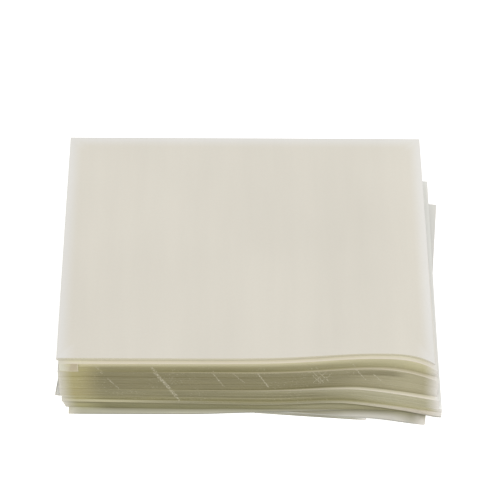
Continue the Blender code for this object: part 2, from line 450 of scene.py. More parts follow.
def flap_faces(start):
    """A sleeve round the flap's loops of points, and strips that close its left and right end."""
    ring = 2 * FLAP_ROWS
    index = start + np.arange(FLAP_COLUMNS * ring).reshape(FLAP_COLUMNS, ring)
    here, after = index[:-1], index[1:]
    corners = (here, after, np.roll(after, -1, axis=1), np.roll(here, -1, axis=1))
    sleeve = np.stack(corners, axis=-1).transpose(1, 0, 2).reshape(-1, 4)
    rows = FLAP_ROWS - 1
    first, last = index[0], index[-1]
    back = ring - 1 - np.arange(FLAP_ROWS)
    left_end = np.stack((first[:rows], first[1:rows + 1], first[back[1:]], first[back[:-1]]), axis=-1)
    right_end = np.stack((last[1:rows + 1], last[:rows], last[back[:-1]], last[back[1:]]), axis=-1)
    return np.concatenate((sleeve, left_end, right_end))


def flap_map(low):
    """Where each face of the flap lies in the texture: to the right of the caps, which begin at low."""
    height = 1.0 - MAP_GAP - low
    start = 3.0 * MAP_GAP + 2.0 * CAP_STRIP
    width = 1.0 - MAP_GAP - start
    across = np.linspace(0.0, 1.0, FLAP_COLUMNS)
    down = np.linspace(0.0, 1.0, FLAP_ROWS)
    around = np.linspace(0.0, 1.0, 2 * FLAP_ROWS + 1)
    through = np.array((0.0, 1.0))
    parts = [rectangle_map(start, low, width, SLEEVE_STRIP * height, across, around)]
    for end in range(2):
        end_low = low + (FLAP_ENDS_LOW + FLAP_END_STEP * end) * height
        parts.append(rectangle_map(start, end_low, width, FLAP_END_STRIP * height, down, through))
    return np.concatenate(parts)


def pile_points(spec, shares, shifts):
    """Two rings of points round each layer, then the insides of the upper and of the lower face."""
    sheet = spec["sheet"]
    layers = spec["layers"]
    foot_layers = spec["foot_layers"]
    points = Points()

    def add(places, share, shift, foot=0.0):
        u, v = places
        x, y = sheet_points(u, v, sheet, share, shift)
        low = spec["bottom"](x, y) + SEAM
        high = spec["top"](x, y)
        along_x = np.minimum(u, 1.0 - u) * sheet["width"]
        along_y = np.minimum(v, 1.0 - v) * sheet["depth"]
        forth = u * sheet["width"] + v * sheet["depth"]
        back = (2.0 - u) * sheet["width"] + (2.0 - v) * sheet["depth"]
        flat_height = np.full_like(x, spec["base"] + share * layers * LAYER)
        bare = [bare_width(x, y, cover) for cover in spec["covers"]]
        points.add(
            np.column_stack((x, y, low + (high - low) * share)),
            np.column_stack((x, y, flat_height)),
            {
                "corner": np.maximum(along_x, along_y) / MM,
                "rim": np.minimum(along_x, (1.0 - v) * sheet["depth"]) / MM,
                "along": np.where(v < u, forth, back) / MM,
                "below": (high - low) * (1.0 - share) / MM,
                "bare": np.min(bare, axis=0) / MM if bare else FAR,
                "fan": u ** 2 * (1.0 - v) ** 2,
                "foot": foot,
            },
        )

    ring = ring_places(*spec["cells"])
    inside = inner_places(*spec["cells"])
    for k in range(layers):
        foot = 1.0 - k / foot_layers if k < foot_layers else 0.0
        add(ring, shares[k], shifts[k], foot)
        add(ring, shares[k + 1], shifts[k], foot)
    add(inside, 1.0, shifts[-1])
    add(inside, 0.0, shifts[0])
    return points


def wall_faces(rings, around):
    """The wall between neighbouring rings: an edge, then a ledge, and so on from the bottom up."""
    low_ring = np.arange(rings - 1)[:, None] * around
    here = np.arange(around)[None, :]
    after = np.roll(here, -1, axis=1)
    corners = (low_ring + here, low_ring + after, low_ring + around + after, low_ring + around + here)
    return np.stack(corners, axis=-1).reshape(-1, 4)


def make_pile(name, spec):
    """A pile of sheets between two faces: a ledged wall of thin layers round two gridded caps."""
    cells_x, cells_y = spec["cells"]
    layers = spec["layers"]
    rng = np.random.default_rng(spec["seed"])
    shares = layer_shares(layers, rng)
    shifts = layer_shifts(layers, spec["loose"], spec["foot_layers"], rng)
    points = pile_points(spec, shares, shifts)

    around = 2 * (cells_x + cells_y)
    inside = (cells_x - 1) * (cells_y - 1)
    rings = 2 * layers
    wall = wall_faces(rings, around)
    high_grid = cap_indices((rings - 1) * around, rings * around, cells_x, cells_y)
    low_grid = cap_indices(0, rings * around + inside, cells_x, cells_y)
    faces = [wall, grid_quads(high_grid, True), grid_quads(low_grid, False)]
    slots = [np.zeros(len(wall)), np.ones(len(faces[1]) + len(faces[2]))]
    uv, caps_low = pile_map(layers, cells_x, cells_y)
    if spec["flap"]:
        faces.append(flap_faces(rings * around + 2 * inside))
        slots.append(np.full(len(faces[-1]), 2.0))
        uv = np.concatenate((uv, flap_map(caps_low)))
        add_flap_points(points, spec["sheet"])
    ledges = np.zeros(len(uv))
    ledges[:len(wall)] = np.repeat(np.arange(rings - 1) % 2, around)

    mesh = bpy.data.meshes.new(name)
    mesh.from_pydata(np.concatenate(points.places), [], np.concatenate(faces))
    points.write(mesh)
    mesh.polygons.foreach_set("material_index", np.concatenate(slots).astype(np.int32))
    mesh.attributes.new("ledge", "FLOAT", "FACE").data.foreach_set("value", ledges.astype(np.float32))
    mesh.uv_layers.new(name="OFBake").data.foreach_set("uv", uv.astype(np.float32).ravel())
    mesh.update()
    pile = bpy.data.objects.new(name, mesh)
    bpy.context.scene.collection.objects.link(pile)
    return pile


# ---------------------------------------------------------------- materials
# Colours are given as they show, 0 to 255, and divided by the light that reaches such a face.
FACE_LIGHT = 1.2
LIP_LIGHT = 1.1
WALL_LIGHT = 1.4
LEDGE_PAINTED_LIGHT = 1.25                # painted light on the bit of a sheet's face that the next sheet leaves bare, which faces up
SPECULAR = 0.35
BUMP_STRENGTH = 0.5
SIDE_ROUGHNESS = 0.5
SIDE_BUMP = 0.05 * MM
FACE_BUMP = 0.03 * MM

PALE_CORNER = (206, 202, 189)
PALE_FANNED_CORNER = (222, 218, 211)
LIP = (216, 207, 192)
CREAM = (219, 214, 202)
CREAM_RIM = (222, 219, 211)
MARK = (196, 190, 168)
CONTACT_SHADOW = (160, 157, 146)            # painted contact shadow of the fanned foot where it meets the surface
FLAP_LEFT = (190, 183, 157)
FLAP_MIDDLE = (178, 166, 138)
FLAP_UPPER = (188, 181, 148)
FLAP_CORNER = (208, 206, 188)
FLAP_RIM = (198, 190, 161)

# Spans of a rise: its start and end and, where they aren't 0 and 1, the values there.
# Of the distance to a corner along the side.
END_SPAN = (11.5, 3.0)
PALE_SPAN = (3.6, 0.3)
PALE_POWER = 1.4
FOOT_END_SPAN = (34.0, 6.0)
STREAKS_SPAN = (2.0, 24.0, 0.35, 1.0)
FACE_CORNER_SPAN = (5.0, 0.5)
# Of the distance to a rim, and of that to the right of the stack's middle.
FACE_RIM_SPAN = (3.6, 0.0)
RIGHT_SPAN = (27.0, 39.0, 1.0, 1.045)
# Of the distance below the top of the pile.
OVERHANG_SHADE_SPAN = (1.3, 0.1)
HOLLOW_TOP_SPAN = (0.2, 0.9)
HOLLOW_FOOT_SPAN = (2.6, 1.9)
PAINTED_LIP_SHADING_SPAN = (2.1, -0.6)
# Of the bare width. LIP_FADE is added to the lip's reach.
PAINTED_LIP_SHADING_BARE_SPAN = (0.1, 1.1)
LIP_FADE = (0.6, 3.0)
# Of how much the sheets fan out.
PALE_FAN_SPAN = (0.5, 0.9)
HOLLOW_LEFT_SPAN = (0.52, 0.64)
HOLLOW_RIGHT_SPAN = (0.86, 0.75)
PAINTED_LIP_SHADING_FAN_SPAN = (0.4, 0.8, 1.0, 0.3)
FOOT_FAN_SPAN = (0.4, 0.9)
LIP_FAN_SPAN = (0.43, 0.67)
# Of the height in the foot, 1 at its bottom. The painted light on the foot makes all of it pale where
# the sheets hardly fan out, and else its lower part, which goes further up the more they do. Its upper
# edge fades, but for the tip.
FOOT_START_SPAN = (0.0, 0.01)
FOOT_TOP_SPAN = (0.05, 0.15)
FOOT_LOW_SPAN = (0.75, 1.0)
FOOT_FLAT_FAN_SPAN = (0.25, 0.02)
FOOT_TIP_FAN_SPAN = (0.86, 0.94)
CONTACT_SHADOW_SPAN = (0.68, 0.85)
CONTACT_SHADOW_FAN_SPAN = (0.86, 0.95)
# Of the flap, along it and from its rim.
FLAP_MIDDLE_SPAN = (1.6, 3.2)
FLAP_UPPER_SPAN = (1.5, 2.1)
FLAP_CORNER_SPAN = (0.0, 2.6)
FLAP_RIM_SPAN = (0.3, 0.1)

# Noises, with their scales per millimetre along x, y and z, and the light that each span gives.
SIDE_STREAKS = {"scales": (0.035, 0.035, 2.2), "detail": 4.0, "roughness": 0.6}
SIDE_STREAK_LIGHT = (0.25, 0.75, 0.93, 1.07)
SIDE_FIBRES = {"scales": (0.3, 0.3, 9.0)}
SIDE_FIBRE_LIGHT = (0.2, 0.8, 0.97, 1.03)
SIDE_CLOUDS = {"scales": (0.09, 0.09, 0.28)}
SIDE_CLOUD_LIGHT = (0.25, 0.75, 0.96, 1.05)
FACE_STREAKS = {"scales": (0.12, 0.012, 0.0), "detail": 4.0, "roughness": 0.6}
FACE_STREAK_LIGHT = (0.25, 0.75, 0.98, 1.015)
FACE_CLOUDS = {"scales": (0.03, 0.03, 0.0)}
FACE_CLOUD_LIGHT = (0.3, 0.7, 0.985, 1.01)
FACE_GRAIN = {"scales": (1.6, 1.6, 0.0), "detail": 3.0}
FACE_GRAIN_LIGHT = (0.2, 0.8, 0.99, 1.01)
FACE_ROUGHNESS = (0.2, 0.8, 0.46, 0.56)
FLAP_FIBRES = {"scales": (2.5, 2.5, 0.8), "detail": 3.0}
FLAP_FIBRE_LIGHT = (0.2, 0.8, 0.96, 1.04)

# Knife marks and the flecks between them.
MARK_STRENGTH = 0.75
MARK_CORE = 0.3                      # share of its half width where a mark is at its strongest
MARK_WOBBLE = {"scales": (1.3, 1.3, 1.0), "detail": 3.0}
MARK_WOBBLE_SPAN = (0.2, 0.8, -0.15, 0.15)
MARK_CHIPS = {"scales": (3.0, 3.0, 1.0)}
MARK_CHIP_SPAN = (0.38, 0.6)
FLECK_STRENGTH = 0.3
FLECKS = {"scales": (2.2, 2.2, 2.6), "detail": 1.0}
FLECK_SPAN = (0.6, 0.72)
FLECK_PATCHES = {"scales": (0.16, 0.16, 0.2)}
FLECK_PATCH_SPAN = (0.45, 0.62)

# Ends of the knife marks, in millimetres round the stack from its front left corner and up, and
# their half widths.
MARKS = (
    ((21.8, 15.8), (28.0, 4.1), 0.34),
    ((22.6, 14.9), (27.8, 5.4), 0.2),
    ((8.7, 15.9), (10.4, 13.5), 0.22),
    ((11.7, 11.4), (14.2, 7.6), 0.2),
    ((36.3, 14.3), (39.0, 8.9), 0.2),
    ((47.0, 13.9), (49.6, 8.6), 0.22),
    ((41.2, 13.9), (43.9, 10.4), 0.14),
    ((59.5, 14.8), (62.6, 9.5), 0.15),
    ((60.6, 15.0), (63.7, 9.9), 0.13),
    ((59.9, 12.6), (61.8, 9.3), 0.12),
    ((63.4, 14.4), (60.1, 9.7), 0.12),
    ((64.4, 13.2), (61.3, 9.0), 0.11),
    ((69.4, 15.1), (72.3, 10.4), 0.19),
    ((74.2, 12.4), (76.3, 9.9), 0.18),
    ((31.0, 14.04), (53.0, 14.04), 0.08),
    ((6.0, 4.32), (34.0, 4.26), 0.07),
)


def linear(value):
    """A channel's linear value, from its display value."""
    share = value / 255.0
    return share / 12.92 if share <= 0.04045 else ((share + 0.055) / 1.055) ** 2.4


def lit(colour, light):
    """The colour that shows as the given display colour under so much light."""
    red, green, blue = (linear(value) / light for value in colour)
    return (red, green, blue, 1.0)


class Nodes:
    """Short ways to add nodes to one material."""

    def __init__(self, name):
        self.material = bpy.data.materials.new(name)
        self.material.use_nodes = True
        self.tree = self.material.node_tree
        self.shader = self.tree.nodes["Principled BSDF"]

    def add(self, kind, inputs=(), **settings):
        node = self.tree.nodes.new(kind)
        for key, value in settings.items():
            setattr(node, key, value)
        for key, value in dict(inputs).items():
            self.put(node.inputs[key], value)
        return node

    def put(self, socket, value):
        if isinstance(value, bpy.types.NodeSocket):
            self.tree.links.new(value, socket)
        else:
            socket.default_value = value

    def attribute(self, name, output="Fac"):
        return self.add("ShaderNodeAttribute", attribute_name=name).outputs[output]

    def vector(self, operation, a, b, output="Vector"):
        return self.add("ShaderNodeVectorMath", {0: a, 1: b}, operation=operation).outputs[output]

    def math(self, operation, a, b, clamp=False):
        node = self.add("ShaderNodeMath", {0: a, 1: b}, operation=operation, use_clamp=clamp)
        return node.outputs[0]

    def product(self, first, *others):
        for other in others:
            first = self.math("MULTIPLY", first, other)
        return first

    def ramp(self, value, start, end, low=0.0, high=1.0, kind="SMOOTHSTEP"):
        """A rise of a value from start to end, onto low to high."""
        inputs = {"Value": value, "From Min": start, "From Max": end, "To Min": low, "To Max": high}
        node = self.add("ShaderNodeMapRange", inputs, interpolation_type=kind)
        return node.outputs["Result"]

    def mix(self, factor, a, b, blend="MIX"):
        inputs = {0: factor, 6: a, 7: b}
        node = self.add("ShaderNodeMix", inputs, data_type="RGBA", blend_type=blend)
        return node.outputs[2]

    def shade(self, colour, light, share=1.0):
        """The colour multiplied by a light, or by that share of it."""
        return self.mix(share, colour, light, blend="MULTIPLY")

    def noise(self, vector, scales, detail=2.0, roughness=0.5):
        """Noise with its own scale along x, y and z, per unit of the vector."""
        stretched = self.vector("MULTIPLY", vector, scales)
        inputs = {"Vector": stretched, "Scale": 1.0, "Detail": detail, "Roughness": roughness}
        return self.add("ShaderNodeTexNoise", inputs).outputs["Fac"]

    def finish(self, colour, roughness, bump_height=None, bump_distance=0.0):
        self.put(self.shader.inputs["Base Color"], colour)
        self.put(self.shader.inputs["Roughness"], roughness)
        self.shader.inputs["Specular IOR Level"].default_value = SPECULAR
        if bump_height is not None:
            inputs = {"Height": bump_height, "Strength": BUMP_STRENGTH, "Distance": bump_distance}
            bump = self.add("ShaderNodeBump", inputs)
            self.put(self.shader.inputs["Normal"], bump.outputs["Normal"])
        return self.material


def shades(
    middle, end, fanned, lip, top=None, hollow_shade=None, foot=None, foot_end=None, foot_fanned=None,
    fan_from=0.42, fan_to=0.9, fan_kind="SMOOTHSTEP", marks=None
):
    """Colours of a bundle's cut sides, as they show.

    middle and end: far from a corner and near one. fanned: where the sheets fan out at the front
    right, by the value of fan there. lip: right under a top face that is bare, painted light where it
    is paler than middle and painted shade where it is darker. top: painted shade right under an
    overhang. hollow: painted shade right under the overhang of a fanned bundle. foot: the lowest
    sheets, where they stick out, painted lighter where they catch the light.
    """
    return {
        "middle": middle,
        "end": end,
        "fanned": fanned,
        "lip": lip,
        "top": top,
        "hollow_shade": hollow_shade,
        "foot": foot,
        "foot_end": foot_end,
        "foot_fanned": foot_fanned,
        "fan_from": fan_from,
        "fan_to": fan_to,
        "fan_kind": fan_kind,
        "marks": marks,
    }


def side_colour(n, tones, light):
    """Darkest in the middle of a side, paler near a corner and where the sheets fan out."""
    near_end = n.ramp(n.attribute("corner"), *END_SPAN)
    colour = n.mix(near_end, lit(tones["middle"], light), lit(tones["end"], light))
    fan = n.ramp(n.attribute("fan"), tones["fan_from"], tones["fan_to"], kind=tones["fan_kind"])
    return n.mix(fan, colour, lit(tones["fanned"], light))


def pale_corner(n, colour, light):
    """The last few millimetres before a corner are pale, as the sheets let the light through there."""
    fan = n.ramp(n.attribute("fan"), *PALE_FAN_SPAN)
    pale = n.mix(fan, lit(PALE_CORNER, light), lit(PALE_FANNED_CORNER, light))
    share = n.math("POWER", n.ramp(n.attribute("corner"), *PALE_SPAN, kind="LINEAR"), PALE_POWER)
    return n.mix(share, colour, pale)


def scratches(n, marks):
    """Strength of thin straight marks left by the knife.

    Each mark has its two ends, in millimetres round the pile and up, and its half width.
    """
    split = n.add("ShaderNodeSeparateXYZ", {0: n.attribute("layer", "Vector")})
    place = n.add("ShaderNodeCombineXYZ", {0: n.attribute("along"), 1: split.outputs[2]}).outputs[0]
    wobble = n.ramp(n.noise(place, **MARK_WOBBLE), *MARK_WOBBLE_SPAN)
    moved = n.vector("ADD", place, n.add("ShaderNodeCombineXYZ", {0: wobble}).outputs[0])
    total = 0.0
    for start, end, half_width in marks:
        run = (end[0] - start[0], end[1] - start[1], 0.0)
        length_squared = run[0] ** 2 + run[1] ** 2
        offset = n.vector("SUBTRACT", moved, (start[0], start[1], 0.0))
        dot = n.vector("DOT_PRODUCT", offset, run, "Value")
        share = n.math("MULTIPLY", dot, 1.0 / length_squared, clamp=True)
        nearest = n.add("ShaderNodeVectorMath", {0: run, "Scale": share}, operation="SCALE").outputs[0]
        gap = n.vector("DISTANCE", offset, nearest, "Value")
        total = n.math("MAXIMUM", total, n.ramp(gap, half_width, MARK_CORE * half_width))
    return n.product(total, n.ramp(n.noise(place, **MARK_CHIPS), *MARK_CHIP_SPAN))


def add_marks(n, colour, layer, marks):
    """Knife marks, and patches of faint flecks."""
    flecks = n.product(
        n.ramp(n.noise(layer, **FLECKS), *FLECK_SPAN),
        n.ramp(n.noise(layer, **FLECK_PATCHES), *FLECK_PATCH_SPAN),
        FLECK_STRENGTH,
    )
    strength = n.math("MAXIMUM", n.product(scratches(n, marks), MARK_STRENGTH), flecks)
    return n.mix(strength, colour, lit(MARK, WALL_LIGHT))


def add_hollow_shade(n, colour, tone):
    """Painted shade between two fanned bundles, short of the corner."""
    below = n.attribute("below")
    fan = n.attribute("fan")
    share = n.product(
        n.ramp(fan, *HOLLOW_LEFT_SPAN),
        n.ramp(fan, *HOLLOW_RIGHT_SPAN),
        n.ramp(below, *HOLLOW_TOP_SPAN),
        n.ramp(below, *HOLLOW_FOOT_SPAN),
    )
    return n.mix(share, colour, lit(tone, WALL_LIGHT))


def add_foot_light(n, colour, tones):
    """Painted light: the lowest sheets stick out, and their colour is made paler where they catch the
    light.
    """
    fan = n.attribute("fan")
    height = n.attribute("foot")
    near_end = n.ramp(n.attribute("corner"), *FOOT_END_SPAN)
    foot = n.mix(near_end, lit(tones["foot"], WALL_LIGHT), lit(tones["foot_end"], WALL_LIGHT))
    foot = n.mix(n.ramp(fan, *FOOT_FAN_SPAN), foot, lit(tones["foot_fanned"], WALL_LIGHT))
    low = n.ramp(n.math("ADD", height, fan), *FOOT_LOW_SPAN)
    share = n.product(
        n.math("MAXIMUM", low, n.ramp(fan, *FOOT_FLAT_FAN_SPAN)),
        n.math("MAXIMUM", n.ramp(height, *FOOT_TOP_SPAN), n.ramp(fan, *FOOT_TIP_FAN_SPAN)),
        n.ramp(height, *FOOT_START_SPAN),
    )
    return n.mix(share, colour, foot)


def add_contact_shadow(n, colour):
    """Painted contact shadow: the fanned tip of the foot is darker where it comes down to the surface."""
    low = n.ramp(n.attribute("foot"), *CONTACT_SHADOW_SPAN)
    tip = n.ramp(n.attribute("fan"), *CONTACT_SHADOW_FAN_SPAN)
    return n.mix(n.product(low, tip), colour, lit(CONTACT_SHADOW, WALL_LIGHT))


def edge_material(name, tones):
    """Cut edges of many sheets."""
    n = Nodes(name)
    layer = n.attribute("layer", "Vector")
    below = n.attribute("below")
    fibres = n.noise(layer, **SIDE_FIBRES)
    colour = side_colour(n, tones, WALL_LIGHT)
    # Painted shade right under an overhang.
    if tones["top"]:
        colour = n.mix(n.ramp(below, *OVERHANG_SHADE_SPAN), colour, lit(tones["top"], WALL_LIGHT))
    # Painted shade under the overhang of a fanned bundle.
    if tones["hollow_shade"]:
        colour = add_hollow_shade(n, colour, tones["hollow_shade"])
    light = n.product(
        n.ramp(n.noise(layer, **SIDE_STREAKS), *SIDE_STREAK_LIGHT),
        n.ramp(fibres, *SIDE_FIBRE_LIGHT),
        n.ramp(n.noise(layer, **SIDE_CLOUDS), *SIDE_CLOUD_LIGHT),
    )
    colour = n.shade(colour, light, n.ramp(n.attribute("corner"), *STREAKS_SPAN))
    # Painted light and shade of the side right under a bare top face: towards the lip tone, painted light
    # where that is paler and painted shade where it is darker.
    painted_lip_shading = n.product(
        n.ramp(below, *PAINTED_LIP_SHADING_SPAN),
        n.ramp(n.attribute("bare"), *PAINTED_LIP_SHADING_BARE_SPAN),
        n.ramp(n.attribute("fan"), *PAINTED_LIP_SHADING_FAN_SPAN),
    )
    colour = n.mix(painted_lip_shading, colour, lit(tones["lip"], WALL_LIGHT))
    # Painted light on the lowest sheets, where they stick out.
    if tones["foot"]:
        colour = add_foot_light(n, colour, tones)
    if tones["marks"]:
        colour = add_marks(n, colour, layer, tones["marks"])
    colour = pale_corner(n, colour, WALL_LIGHT)
    # Painted contact shadow at the fanned tip of the foot.
    if tones["foot"]:
        colour = add_contact_shadow(n, colour)
    # Painted light: the ledges, which face up, are made paler.
    ledge_painted_light = n.ramp(n.attribute("ledge"), 0.0, 1.0, 1.0, LEDGE_PAINTED_LIGHT, kind="LINEAR")
    return n.finish(n.shade(colour, ledge_painted_light), SIDE_ROUGHNESS, fibres, SIDE_BUMP)


def shaded_lip_colour(n, bare, spec):
    """The strip in front of the sheets on top: from the near colours, painted shade of the sheets on top,
    to that of the lip.
    """
    fan = n.ramp(n.attribute("fan"), *LIP_FAN_SPAN)
    far = n.mix(fan, lit(spec["lip"], LIP_LIGHT), lit(spec["fanned_lip"], LIP_LIGHT))
    share = n.math("POWER", n.ramp(bare, 0.0, spec["reach"], kind="LINEAR"), spec["lip_power"])
    colour = n.mix(share, side_colour(n, spec["near"], LIP_LIGHT), far)
    return pale_corner(n, colour, LIP_LIGHT)


def face_material(name, spec):
    """The flat face of a sheet: cream, with faint streaks from front to rear, paler at rim and corners.

    Right in front of the sheets on top it has the near colours, painted shade of those sheets, and the
    lip's at reach from them, or at fanned_reach where the sheets fan out. lip_power is how late that
    change comes.
    """
    n = Nodes(name)
    layer = n.attribute("layer", "Vector")
    near = spec["near"]
    reach = spec["reach"]
    fanned_share = reach / spec["fanned_reach"]
    shrink = n.ramp(n.attribute("fan"), near["fan_from"], near["fan_to"], 1.0, fanned_share)
    bare = n.product(n.attribute("bare"), shrink)
    grain = n.noise(layer, **FACE_GRAIN)
    near_rim = n.ramp(n.attribute("rim"), *FACE_RIM_SPAN)
    pale = n.math("MAXIMUM", near_rim, n.ramp(n.attribute("corner"), *FACE_CORNER_SPAN))
    colour = n.mix(pale, lit(spec["cream"], FACE_LIGHT), lit(spec["rim"], FACE_LIGHT))
    split = n.add("ShaderNodeSeparateXYZ", {0: layer})
    colour = n.shade(colour, n.ramp(split.outputs[0], *RIGHT_SPAN))
    # Painted shade in front of the sheets on top, giving way to the lip and then the cream.
    past_lip = n.ramp(bare, reach + LIP_FADE[0], reach + LIP_FADE[1])
    colour = n.mix(past_lip, shaded_lip_colour(n, bare, spec), colour)
    light = n.product(
        n.ramp(n.noise(layer, **FACE_STREAKS), *FACE_STREAK_LIGHT),
        n.ramp(n.noise(layer, **FACE_CLOUDS), *FACE_CLOUD_LIGHT),
        n.ramp(grain, *FACE_GRAIN_LIGHT),
    )
    return n.finish(n.shade(colour, light), n.ramp(grain, *FACE_ROUGHNESS), grain, FACE_BUMP)


def flap_material(name):
    """The folded-down flap: tan, with a light line along its right and its lower edge."""
    n = Nodes(name)
    along = n.attribute("along")
    rim = n.attribute("rim")
    to_middle = n.ramp(along, *FLAP_MIDDLE_SPAN)
    colour = n.mix(to_middle, lit(FLAP_LEFT, WALL_LIGHT), lit(FLAP_MIDDLE, WALL_LIGHT))
    colour = n.mix(n.ramp(rim, *FLAP_UPPER_SPAN), colour, lit(FLAP_UPPER, WALL_LIGHT))
    colour = n.mix(n.ramp(along, *FLAP_CORNER_SPAN), lit(FLAP_CORNER, WALL_LIGHT), colour)
    colour = n.mix(n.ramp(rim, *FLAP_RIM_SPAN), colour, lit(FLAP_RIM, WALL_LIGHT))
    fibres = n.noise(n.attribute("layer", "Vector"), **FLAP_FIBRES)
    colour = n.shade(colour, n.ramp(fibres, *FLAP_FIBRE_LIGHT))
    return n.finish(colour, SIDE_ROUGHNESS, fibres, FACE_BUMP)


# ---------------------------------------------------------------- the nine piles
TOP_OUTLINE = outline(-1.85, 2.18, 0.0, depth=72.36 * MM)
SECOND_OUTLINE = outline(-1.66, 1.08, 0.1, width=89.5 * MM, pull=(0.75, -0.45), power=5)
THIRD_OUTLINE = outline(-1.55, 0.6, -0.5, width=89.6 * MM, pull=(1.25, -0.8), power=6)
FOURTH_OUTLINE = outline(-1.15, 0.36, -0.7, width=90.0 * MM, pull=(1.35, -1.65), power=3.7)
FIFTH_OUTLINE = outline(-0.12, 0.22, -0.75, width=91.16 * MM, pull=(0.6, -1.3), power=2.8)
SIXTH_OUTLINE = outline(-1.3, -0.19, -1.3, width=88.0 * MM, lean=(0.8, 0.0))
BOTTOM_OUTLINE = outline(0.5, -1.1, -0.1, width=90.2 * MM, pull=(0.0, 1.0), power=3.0)
TURNED_OUTLINE = outline(
    0.25, 0.08, math.degrees(TURNED_ANGLE) - 0.05, width=89.7 * MM, pull=(0.2, 0.0), lean=(-0.3, 0.0)
)
OFFCUT_OUTLINE = outline(
    OFFCUT_X / MM, OFFCUT_Y / MM + 0.03, math.degrees(OFFCUT_ANGLE) - 0.4,
    width=OFFCUT_WIDTH, depth=OFFCUT_DEPTH
)

# The sides of each bundle, and where they differ, the strip of its top face in front of the next,
# which holds painted shade from the next.
TOP_TONES = shades((209, 202, 178), (211, 206, 179), (210, 205, 182), (209, 204, 182))
SECOND_TONES = shades(
    (137, 130, 92), (172, 163, 116), (192, 186, 151), (210, 202, 168),
    fan_from=0.2, fan_to=1.05, fan_kind="LINEAR", marks=MARKS
)
SECOND_SHADED_STRIP = shades((197, 190, 165), (205, 200, 172), (206, 201, 177), (207, 202, 180))
# The third bundle's hollow tone is painted shade under the second bundle's overhang.
THIRD_TONES = shades(
    (129, 122, 88), (168, 159, 112), (169, 162, 131), (150, 143, 112),
    hollow_shade=(134, 127, 95), fan_from=0.38, marks=MARKS
)
THIRD_SHADED_STRIP = shades((152, 145, 110), (168, 159, 112), (169, 162, 131), (150, 143, 112), fan_from=0.38)
FOURTH_TONES = shades(
    (136, 130, 97), (167, 158, 114), (177, 172, 143), (186, 180, 154),
    fan_from=0.35, fan_to=0.8, marks=MARKS
)
FOURTH_SHADED_STRIP = shades(
    (148, 142, 108), (167, 158, 114), (190, 185, 157), (186, 180, 154), fan_from=0.35, fan_to=0.8
)
# The fifth bundle's foot tones are painted light on its lowest sheets.
FIFTH_TONES = shades(
    (140, 134, 97), (172, 165, 123), (179, 173, 140), (174, 167, 138),
    foot=(150, 145, 117), foot_end=(188, 182, 148), foot_fanned=(201, 193, 176), marks=MARKS
)
# The sixth bundle's top and lip tones are painted shade under the fifth bundle's overhang.
SIXTH_TONES = shades(
    (140, 136, 102), (176, 171, 131), (156, 151, 120), (130, 124, 91),
    top=(128, 123, 90), fan_from=0.2, fan_to=0.55
)
# The bottom sheets' dark middle tone is partly their cut edge and partly painted contact shadow along the
# surface below.
BOTTOM_TONES = shades(
    (106, 107, 95), (166, 165, 146), (157, 154, 136), (157, 155, 138), fan_from=0.2, fan_to=0.5
)
BOTTOM_SHADED_STRIP = shades(
    (143, 139, 114), (178, 176, 147), (168, 164, 145), (150, 149, 131), fan_from=0.2, fan_to=0.5
)
# The turned sheets' middle and end tones are painted light: paler, against the shade of the stack above.
TURNED_TONES = shades((196, 194, 183), (217, 215, 209), (152, 151, 142), (178, 176, 164))
TURNED_SHADED_STRIP = shades(
    (151, 147, 124), (176, 172, 146), (132, 127, 98), (178, 176, 164), fan_from=0.78, fan_to=0.93
)
OFFCUT_TONES = shades((156, 153, 137), (178, 176, 160), (172, 169, 153), (178, 176, 164))


def bundle(
    sheet, bottom, top, layers, loose, base, tones, slot, covers=(), near=None, lip=LIP, fanned_lip=None,
    reach=1.05, fanned_reach=None, lip_power=1.0, cream=CREAM, rim=CREAM_RIM, foot_layers=0, flap=False,
    cells=CELLS
):
    """All that a pile and its materials need.

    sheet: its outline. bottom and top: its lowest and highest face. loose: how far askew its layers
    lie. base: its height in the flat, unbent stack. covers: the outlines that lie on it. tones: the
    colours of its sides. near: those of its top face right in front of a cover, painted shade of that
    cover. lip, reach and lip_power: see face_material.
    """
    return {
        "sheet": sheet,
        "bottom": bottom,
        "top": top,
        "layers": layers,
        "loose": loose,
        "base": base,
        "tones": tones,
        "slot": slot,
        "covers": covers,
        "near": near or tones,
        "lip": lip,
        "fanned_lip": fanned_lip or lip,
        "reach": reach,
        "fanned_reach": fanned_reach or reach,
        "lip_power": lip_power,
        "cream": cream,
        "rim": rim,
        "foot_layers": foot_layers,
        "flap": flap,
        "cells": cells,
    }


